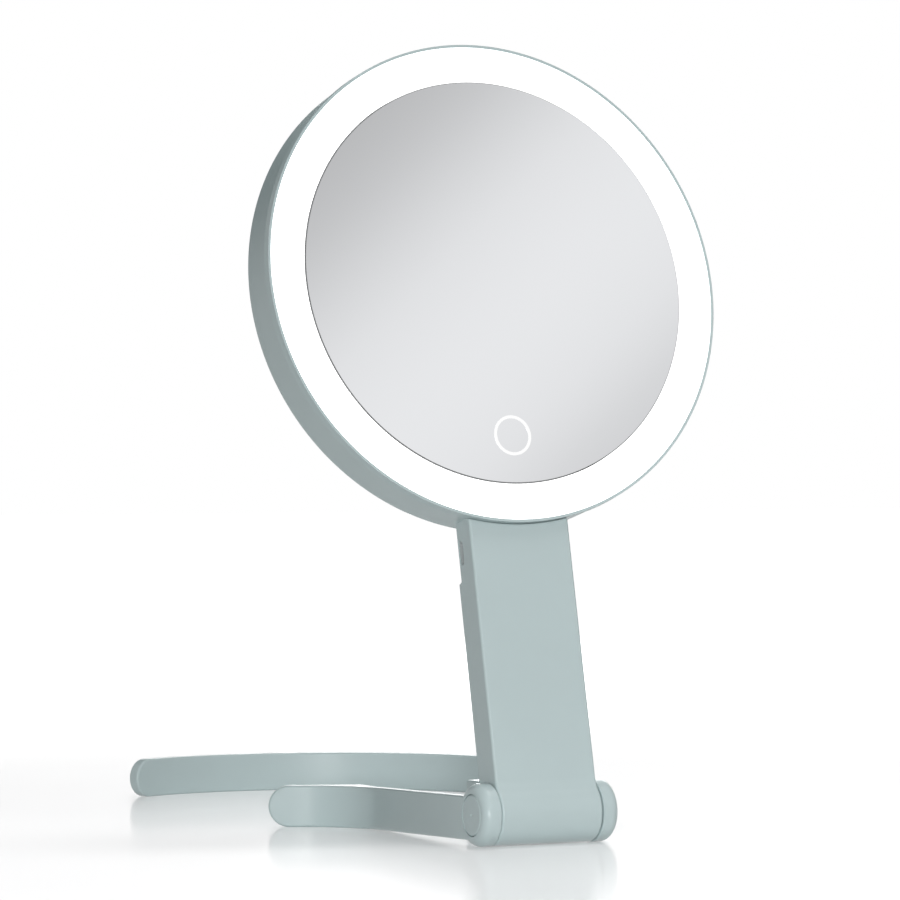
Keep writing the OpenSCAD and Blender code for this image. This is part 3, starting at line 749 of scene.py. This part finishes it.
@dataclass
class Handle:
    """Flat handle with the hinge barrel at its foot, closed behind by its cover."""

    width: float = 40.0
    front: float = -8.1
    neck_back: float = 3.8
    grip_back: float = 5.8
    step_top: float = 84.85
    step_bottom: float = 84.15
    top: float = 108.4
    barrel_radius: float = 11.1
    blend_radius: float = 10.0
    edge: float = 1.1
    cavity: float = 17.2
    rabbet: float = 18.2
    floor: float = -6.3
    cavity_span: Pair = (12.9, 82.7)
    cover_span: Pair = (11.9, 85.4)
    neck_span: Pair = (82.0, 101.6)
    neck_inner: float = 2.4
    bore: float = 5.5
    flange: Pair = (7.0, 18.8)
    socket: Pair = (0.7, 94.5)
    socket_size: Pair = (3.4, 9.1)
    socket_end: float = -11.0
    lip_radius: float = 90.3
    wall_radius: float = 88.5
    lip_depth: float = 3.5

    def shell(self) -> Piece:
        """Makes handle and barrel in one, their outline's edges rounded."""
        form = Form()
        x = -self.width / 2
        blend_y = self.front - self.blend_radius
        blend_z = math.sqrt((self.barrel_radius + self.blend_radius) ** 2 - blend_y ** 2)
        meet = math.degrees(math.atan2(blend_z, -blend_y))
        corner = math.degrees(math.asin(self.grip_back / self.barrel_radius))
        pen = form.pen((x, self.front, self.top))
        pen.line((x, self.front, blend_z))
        pen.arc((x, blend_y, blend_z), X_AXIS, -meet, 14)
        pen.arc((0, 0, 0), X_AXIS, 360 - (90 - meet) - corner, 84)
        pen.line((x, self.grip_back, self.step_bottom), (x, self.neck_back, self.step_top),
                 (x, self.neck_back, self.top))
        form.extrude(pen.close(), (self.width, 0, 0))

        def on_outline(edge: Edge) -> bool:
            """Picks the outline's edges on both sides of the handle, but not its hidden top."""
            points = [v.co for v in edge.verts]
            on_side = all(abs(abs(p.x) - self.width / 2) < NEAR for p in points)
            across = abs(points[0].x - points[1].x) > NEAR
            return on_side and not across and min(p.z for p in points) < self.top - 1

        form.soften(on_outline, self.edge, 5)
        return form.object("handle_shell")

    def socket_hole(self) -> Form:
        """Returns the slot with round ends that the charging socket lies in."""
        form = Form()
        middle, height = self.socket
        radius, half = self.socket_size[0] / 2, self.socket_size[1] / 2
        low, high = height - half + radius, height + half - radius
        pen = form.pen((-self.width, middle - radius, low))
        pen.arc((-self.width, middle, low), X_AXIS, 180, 16)
        pen.line((-self.width, middle + radius, high))
        pen.arc((-self.width, middle, high), X_AXIS, 180, 16)
        return form.extrude(pen.close(), (self.width + self.socket_end, 0, 0))

    def room(self) -> list[Form]:
        """Returns what is cut from the shell: head, cavities, cover's seat, bores and socket."""
        centre = (0, 0, PLACES.hinge_to_head)
        lip_back = PLACES.lip_front + self.lip_depth
        past, past_wall, past_side = 12.0, 14.0, 25.0
        low, high = self.cavity_span
        cover_low, cover_high = self.cover_span
        neck_low, neck_high = self.neck_span
        flange_r, flange_x = self.flange
        return [
            Form().cylinder(self.lip_radius, -past, lip_back, Y_AXIS, centre, 256),
            Form().cylinder(self.wall_radius, -past_wall, past_wall, Y_AXIS, centre, 256),
            Form().block((-self.cavity, self.floor, low), (self.cavity, past, high)),
            Form().block((-self.rabbet, self.neck_back, cover_low), (self.rabbet, past, cover_high)),
            Form().block((-self.cavity, self.floor, neck_low),
                         (self.cavity, self.neck_inner, neck_high)),
            Form().cylinder(self.bore, -past_side, past_side, X_AXIS),
            Form().cylinder(flange_r, flange_x, past_side, X_AXIS),
            Form().cylinder(flange_r, -past_side, -flange_x, X_AXIS),
            self.socket_hole(),
        ]

    def build(self) -> Piece:
        """Returns the handle, cut but not yet placed."""
        handle = self.shell()
        for number, form in enumerate(self.room()):
            handle = combine(handle, form.object(f"room_{number}"), Join.CUT)
        return handle


@dataclass
class Head:
    """Round cup behind the light and the mirror, with its trim lip in front."""

    lip_radius: float = 90.0
    lip_width: float = 1.15
    lip_rounding: Pair = (0.1, 0.2)
    lip_depth: float = 3.5
    wall_radius: float = 89.8
    wall: float = 2.0
    depth: float = 19.4
    back_rounding: float = 0.8
    skin: Pair = (0.9, 0.9)
    spigot: tuple[float, float, float] = (87.4, 85.8, 3.5)
    light_back: float = 2.8
    play: float = 0.1
    cup_break: float = 0.12
    lip_break: float = 0.15
    steps: int = 256

    def cup(self) -> Piece:
        """Turns the cup: outer wall, rounded back edge and floor."""
        form = Form()
        out, inner = self.wall_radius, self.wall_radius - self.wall
        skin_t, skin_h = self.skin
        pen = form.pen((0, 0, self.depth))
        pen.line((out - self.back_rounding, 0, self.depth))
        pen.arc((out - self.back_rounding, 0, self.depth - self.back_rounding), Y_AXIS, 90, 8)
        pen.line((out, 0, self.lip_depth + self.cup_break), (out - self.cup_break, 0, self.lip_depth),
                 (out - skin_t, 0, self.lip_depth), (out - skin_t, 0, self.lip_depth + skin_h),
                 (inner, 0, self.lip_depth + skin_h), (inner, 0, self.depth - self.wall),
                 (0, 0, self.depth - self.wall))
        form.revolve(pen.close(), Z_AXIS, self.steps)
        return form.object("cup")

    def bezel(self) -> None:
        """Turns the trim ring: rounded lip, flange under the light and spigot into the cup."""
        form = Form()
        lip, inner = self.lip_radius, self.lip_radius - self.lip_width
        inside, outside = self.lip_rounding
        spigot_outer, spigot_inner, spigot_depth = self.spigot
        skin_t, skin_h = self.skin
        seat = self.wall_radius - skin_t - self.play
        shoulder = self.lip_depth + skin_h - self.play
        pen = form.pen((inner, 0, self.light_back))
        pen.line((inner, 0, inside))
        pen.arc((inner + inside, 0, inside), Y_AXIS, 90, 4)
        pen.line((lip - outside, 0, 0))
        pen.arc((lip - outside, 0, outside), Y_AXIS, 90, 6)
        pen.line((lip, 0, self.lip_depth - self.lip_break), (lip - self.lip_break, 0, self.lip_depth),
                 (seat, 0, self.lip_depth), (seat, 0, shoulder), (spigot_outer, 0, shoulder),
                 (spigot_outer, 0, self.lip_depth + spigot_depth),
                 (spigot_inner, 0, self.lip_depth + spigot_depth), (spigot_inner, 0, self.light_back))
        form.revolve(pen.close(), Z_AXIS, self.steps)
        deliver(form.object("trim_lip_form"), PLACES.head, Body.MIRROR, Slot.SAGE, "front_bezel")


@dataclass
class Housing:
    """Cup and handle in one sage moulding, and the cover that closes the handle behind."""

    head: Head = field(default_factory=Head)
    handle: Handle = field(default_factory=Handle)
    screw_x: float = 13.8
    screw_z: float = 16.5
    screw_seat: Pair = (2.2, 1.2)
    screw_hole: float = 1.2
    cover_play: float = 0.1
    cover_edge: float = 0.25

    def build(self) -> None:
        """Makes the moulding and its cover."""
        handle = self.handle.build()
        cup = self.head.cup()
        cup.data.transform(PLACES.handle.inverted() @ PLACES.head)
        grown = combine(handle, cup, Join.ADD)
        grown.name = "housing_form"
        deliver(grown, PLACES.handle, Body.MIRROR, Slot.SAGE, "rear_housing")
        self.cover()
        self.head.bezel()

    def cover(self) -> None:
        """Makes the back cover with its sloped upper end and countersunk screw seats."""
        grip, form = self.handle, Form()
        x = grip.rabbet - self.cover_play
        low = grip.cover_span[0] + self.cover_play
        pen = form.pen((-x, grip.neck_back, low))
        pen.line((-x, grip.grip_back, low), (-x, grip.grip_back, grip.step_bottom),
                 (-x, grip.neck_back, grip.step_top))
        form.extrude(pen.close(), (2 * x, 0, 0))
        back = grip.grip_back
        seat_r, seat_d = self.screw_seat
        form.soften(lambda edge: has_sharp_turn(edge) and all(v.co.y > back - NEAR for v in edge.verts),
                    self.cover_edge, 3)
        cover = form.object("handle_cover_form")
        past = 2.0
        for sign in (-1, 1):
            place = (sign * self.screw_x, 0, self.screw_z)
            seat = Form().cylinder(seat_r, back - seat_d, back + past, Y_AXIS, place, 48)
            cover = combine(cover, seat.object("seat"), Join.CUT)
            hole = Form().cylinder(self.screw_hole, -past, back + past, Y_AXIS, place, 32)
            cover = combine(cover, hole.object("hole"), Join.CUT)
        deliver(cover, PLACES.handle, Body.MIRROR, Slot.SAGE, "handle_back_cover")


@dataclass
class LightAndGlass:
    """The lit ring, the glass inside it and the touch mark on the glass."""

    inset: float = 0.2
    light_inset: float = 0.35
    light: tuple[float, float, float] = (75.7, 88.95, 2.8)
    ring_rounding: float = 0.15
    ring_chamfer: float = 0.1
    glass_radius: float = 75.5
    glass_depth: float = 4.0
    arris: float = 0.3
    touch_drop: float = 57.8
    touch_radius: float = 6.85
    touch_line: float = 1.1

    def light_ring(self) -> None:
        """Turns the opal ring."""
        inner, outer, back = self.light
        front, rounding, chamfer = self.light_inset, self.ring_rounding, self.ring_chamfer
        form = Form()
        pen = form.pen((inner, 0, back)).line((inner, 0, front + rounding))
        pen.arc((inner + rounding, 0, front + rounding), Y_AXIS, 90, 3)
        pen.line((outer - chamfer, 0, front), (outer, 0, front + chamfer), (outer, 0, back))
        form.revolve(pen.close(), Z_AXIS, 256)
        deliver(form.object("light_ring_form"), PLACES.head, Body.MIRROR, Slot.OPAL, "diffuser_ring")

    def glass(self) -> None:
        """Turns the glass, whose ground edge has a finish of its own."""
        rim, front, arris = self.glass_radius, self.inset, self.arris
        back = front + self.glass_depth
        form = Form()
        pen = form.pen((0, 0, front)).line((rim - arris, 0, front), (rim, 0, front + arris),
                                           (rim, 0, back), (0, 0, back))
        form.revolve(pen.close(), Z_AXIS, 256)
        piece = form.object("glass_form")
        ground = [math.hypot(face.center.x, face.center.y) > rim - arris
                  for face in piece.data.polygons]
        deliver(piece, PLACES.head, Body.MIRROR, Slot.MIRROR, "mirror_glass", crease=20)
        piece.data.materials.append(GROUND_EDGE.material())
        piece.data.polygons.foreach_set("material_index", [int(edge) for edge in ground])

    def touch_mark(self) -> None:
        """Turns the thin ring that stands on the glass."""
        inner = self.touch_radius - self.touch_line / 2
        outer, front = inner + self.touch_line, self.inset / 2
        form = Form()
        pen = form.pen((inner, 0, self.inset))
        pen.line((inner, 0, front), (outer, 0, front), (outer, 0, self.inset))
        form.revolve(pen.close(), Z_AXIS, 128)
        bmesh.ops.translate(form.mesh, verts=form.mesh.verts[:], vec=(0, self.touch_drop, 0))
        deliver(form.object("touch_mark_form"), PLACES.head, Body.MIRROR, Slot.PRINT, "touch_ring")

    def build(self) -> None:
        """Makes and delivers the three pieces."""
        self.light_ring()
        self.glass()
        self.touch_mark()


@dataclass
class InnerWorks:
    """The CAD nodes that keep their own shape: they only get their finish."""

    own: dict[str, Metal] = field(default_factory=lambda: {"usb_port": SHELL_NICKEL})

    def build(self) -> None:
        """Dresses each CAD node that no new piece stands for."""
        slots = {entry["node"]: entry["material_slot"] for entry in frame["record"]["subparts"]}
        for name, node in frame["nodes"].items():
            if node.hide_render:
                continue
            finish = self.own.get(name)
            node.data.materials.clear()
            slot = Slot(slots[name])
            node.data.materials.append(finish.material() if finish else material_of(slot))
            LOG.info("%s: CAD shape with finish %s", name, slots[name])


# Studio


@dataclass(frozen=True)
class Lamp:
    """A soft rectangular lamp: place and aim in metres, the sides of its panel, and its watts."""

    name: str
    place: Point
    size: Pair
    watts: float
    aim: Point = (0, 0, 0.12)

    def hang(self) -> None:
        """Adds the lamp to the scene."""
        data = bpy.data.lights.new(self.name, "AREA")
        data.shape = "RECTANGLE"
        data.size, data.size_y = self.size
        data.energy = self.watts
        lamp = bpy.data.objects.new(self.name, data)
        bpy.context.scene.collection.objects.link(lamp)
        turn = (Vector(self.aim) - Vector(self.place)).to_track_quat("-Z", "Y")
        lamp.matrix_world = Matrix.Translation(self.place) @ turn.to_matrix().to_4x4()


PANEL_TONES = ((0.0, 0.40), (0.256, 0.48), (0.32, 0.535), (0.384, 0.66), (0.448, 0.752),
               (0.544, 0.806), (0.64, 0.768), (0.704, 0.68), (0.8, 0.55), (1.0, 0.42))
"""How bright the reflected panel is across its diagonal: place from 0 to 1, and tone."""

LAMPS = (
    Lamp("front_soft", (-0.88, -1.62, 0.22), (0.45, 0.25), 18.5, aim=(0, -0.1, 0.1)),
    Lamp("right_soft", (0.7, -1.3, 0.3), (0.4, 0.4), 0.5),
    Lamp("high_soft", (0.3, -1.25, 1.1), (0.5, 0.5), 3.5, aim=(0, 0, 0.05)),
    Lamp("top_soft", (0.35, -0.25, 1.5), (0.5, 0.5), 7, aim=(0, 0, 0)),
    Lamp("back_soft", (0.8, 1.5, 0.8), (1.0, 1.0), 12),
)


@dataclass
class Studio:
    """Camera, white room and floor, and the cards that only reflections see, in metres."""

    eye: Point = (-0.63745, -1.3778, 0.1231)
    right: Point = (0.90007, -0.43567, -0.0054)
    look: Point = (0.43567, 0.90003, 0.01239)
    focal_px: float = 3905.6
    frame_px: float = 900.0
    room_light: float = 0.06
    floor_half: float = 30.0
    floor_paper: Colour = (0.92, 0.92, 0.925)
    floor_glow: float = 0.34
    floor_fade: Pair = (0.3, 0.8)
    floor_gloss: float = 0.12
    floor_ior: float = 1.08
    bounce_fade: Pair = (0.12, 0.5)
    bounce_tones: Pair = (0.85, 0.2)
    glass_px: Pair = (491.5, 283.5)
    glass_inset: float = 0.2
    panel_way: float = 2.5
    panel_half: float = 0.9
    panel_span: float = 0.4
    panel_colour: Colour = (1.015, 1.02, 1.035)
    glass_share: float = 0.935
    flag_way: float = 2.4
    flag_shift: float = -0.56
    flag_height: float = 0.8
    flag_half: Pair = (0.44, 0.6)
    flag_tone: Colour = (0.2, 0.255, 0.26)

    @property
    def axes(self) -> tuple[Vector, Vector, Vector]:
        """The view's directions to the right, up and ahead."""
        look = Vector(self.look).normalized()
        up = Vector(self.right).normalized().cross(look).normalized()
        return look.cross(up), up, look

    def camera(self) -> None:
        """Sets the camera where the photograph was taken from."""
        data = bpy.data.cameras.new("photo_view")
        data.lens = self.focal_px / self.frame_px * data.sensor_width
        data.clip_start, data.clip_end = 0.05, 60
        camera = bpy.data.objects.new("photo_view", data)
        bpy.context.scene.collection.objects.link(camera)
        side, up, look = self.axes
        turn = Matrix((side, up, -look)).transposed().to_4x4()
        camera.matrix_world = Matrix.Translation(self.eye) @ turn
        bpy.context.scene.camera = camera

    @staticmethod
    def card(name: str, half: float, place: Matrix, material: Material) -> Piece:
        """Adds a square card to the studio and returns it."""
        form = Form()
        bmesh.ops.create_grid(form.mesh, x_segments=1, y_segments=1, size=half)
        card = form.object(name)
        card.matrix_world = place
        card.data.materials.append(material)
        return card

    def reflected_card(self, name: str, half: float, place: Matrix,
                       material: Material) -> None:
        """Adds a card that only reflections see."""
        card = self.card(name, half, place, material)
        card.visible_camera = card.visible_diffuse = False
        card.visible_shadow = card.visible_transmission = False

    def floor(self) -> None:
        """Lays a pale floor that looks white and keeps the object's shadow.

        The camera sees paper with a glow that grows outwards, under a gloss that fades there.
        Reflections see plain white, and other rays a tone that darkens outwards.
        """
        shader = Shader("studio_floor")
        path = shader.add("LightPath").outputs
        reach = shader.add("VectorMath", shader.place(), operation="LENGTH").outputs["Value"]
        glow = shader.remap(reach, self.floor_fade, (self.floor_glow, 1.0), "SMOOTHSTEP")
        lit = shader.add("AddShader", shader.add("BsdfDiffuse", Color=(*self.floor_paper, 1)),
                         shader.add("Emission", Color=WHITE, Strength=glow))
        gloss = shader.add("BsdfGlossy", Color=WHITE, Roughness=self.floor_gloss)
        wane = shader.remap(reach, self.floor_fade, (1.0, 0.0), "SMOOTHSTEP")
        angle = shader.add("Fresnel", IOR=self.floor_ior)
        share = shader.add("Math", angle, wane, operation="MULTIPLY")
        seen = shader.add("MixShader", share, lit, gloss)
        tone = shader.remap(reach, self.bounce_fade, self.bounce_tones)
        bounce = shader.add("BsdfDiffuse", tone)
        white = shader.add("Emission", Color=WHITE, Strength=1.0)
        unseen = shader.add("MixShader", path["Is Glossy Ray"], bounce, white)
        paper = shader.finish(shader.add("MixShader", path["Is Camera Ray"], unseen, seen))
        self.card("floor", self.floor_half, Matrix.Identity(4), paper)

    def surroundings(self) -> None:
        """Fills the room with soft grey light that looks white behind the object."""
        shader = Shader("studio_room", for_world=True)
        path = shader.add("LightPath").outputs
        seen = shader.add("Math", path["Is Camera Ray"], path["Is Transmission Ray"],
                          operation="MAXIMUM")
        seen = shader.add("Math", seen, path["Is Glossy Ray"], operation="MAXIMUM")
        sky = shader.add("Background", Color=WHITE, Strength=self.room_light)
        white = shader.add("Background", Color=WHITE, Strength=1.0)
        world = shader.finish(shader.add("MixShader", seen, sky, white))
        bpy.context.scene.world = world

    def panel(self) -> None:
        """Hangs the panel whose soft diagonal light the glass shows to the camera.

        It stands where the glass seems to show it: a plane across the view behind the glass,
        mirrored in the glass.
        """
        side, up, look = self.axes
        middle = self.frame_px / 2
        ray = (look + side * (self.glass_px[0] - middle) / self.focal_px
               + up * (middle - self.glass_px[1]) / self.focal_px)
        centre = Vector(self.eye) + ray * self.panel_way
        glass = PLACES.head @ Vector((0, 0, self.glass_inset))
        normal = (PLACES.head.to_3x3() @ Vector(Z_AXIS)).normalized()

        def flip(vector: Vector) -> Vector:
            """Mirrors a direction in the glass."""
            return vector - 2 * vector.dot(normal) * normal

        place = Matrix((flip(side), flip(up), flip(look))).transposed().to_4x4()
        place.translation = glass + flip(centre - glass)
        shader = Shader("panel_light")
        split = shader.add("SeparateXYZ", shader.place()).outputs
        slant = shader.add("Math", split["X"], split["Y"], operation="SUBTRACT")
        across = shader.remap(slant, (-self.panel_span, self.panel_span), (0.0, 1.0))
        stops = [(position, tint(self.panel_colour, tone / self.glass_share))
                 for position, tone in PANEL_TONES]
        light = shader.add("Emission", shader.ramp(across, stops, "B_SPLINE"), Strength=1.0)
        self.reflected_card("reflected_panel", self.panel_half, place, shader.finish(light))

    def flag(self) -> None:
        """Stands a dark card left of the view behind the mirror, so that the rim keeps its edge."""
        side, _, look = self.axes
        across, upright = self.flag_half
        place = Matrix((side * across, Vector(Z_AXIS) * upright, look)).transposed().to_4x4()
        spot = Vector(self.eye) + look * self.flag_way + side * self.flag_shift
        place.translation = (spot.x, spot.y, self.flag_height)
        shader = Shader("flag_cloth")
        cloth = shader.finish(shader.add("Emission", Color=(*self.flag_tone, 1), Strength=1.0))
        self.reflected_card("dark_flag", 1.0, place, cloth)

    def build(self) -> None:
        """Sets up camera, room, floor, cards and lamps."""
        self.camera()
        self.surroundings()
        self.floor()
        self.panel()
        self.flag()
        for lamp in LAMPS:
            lamp.hang()
        bpy.context.scene.view_settings.view_transform = "Standard"


def main() -> None:
    """Builds the mirror's pieces in order, then the studio."""
    logging.basicConfig(level=logging.INFO, format="%(name)s: %(message)s")
    assemblies = [
        Leg(Side.RIGHT, 205.0),
        Leg(Side.LEFT, 30.5),
        PivotCap(Side.RIGHT),
        PivotCap(Side.LEFT),
        Housing(),
        LightAndGlass(),
        InnerWorks(),
    ]
    for assembly in assemblies:
        assembly.build()
    Studio().build()


if __name__ == "__main__":
    main()
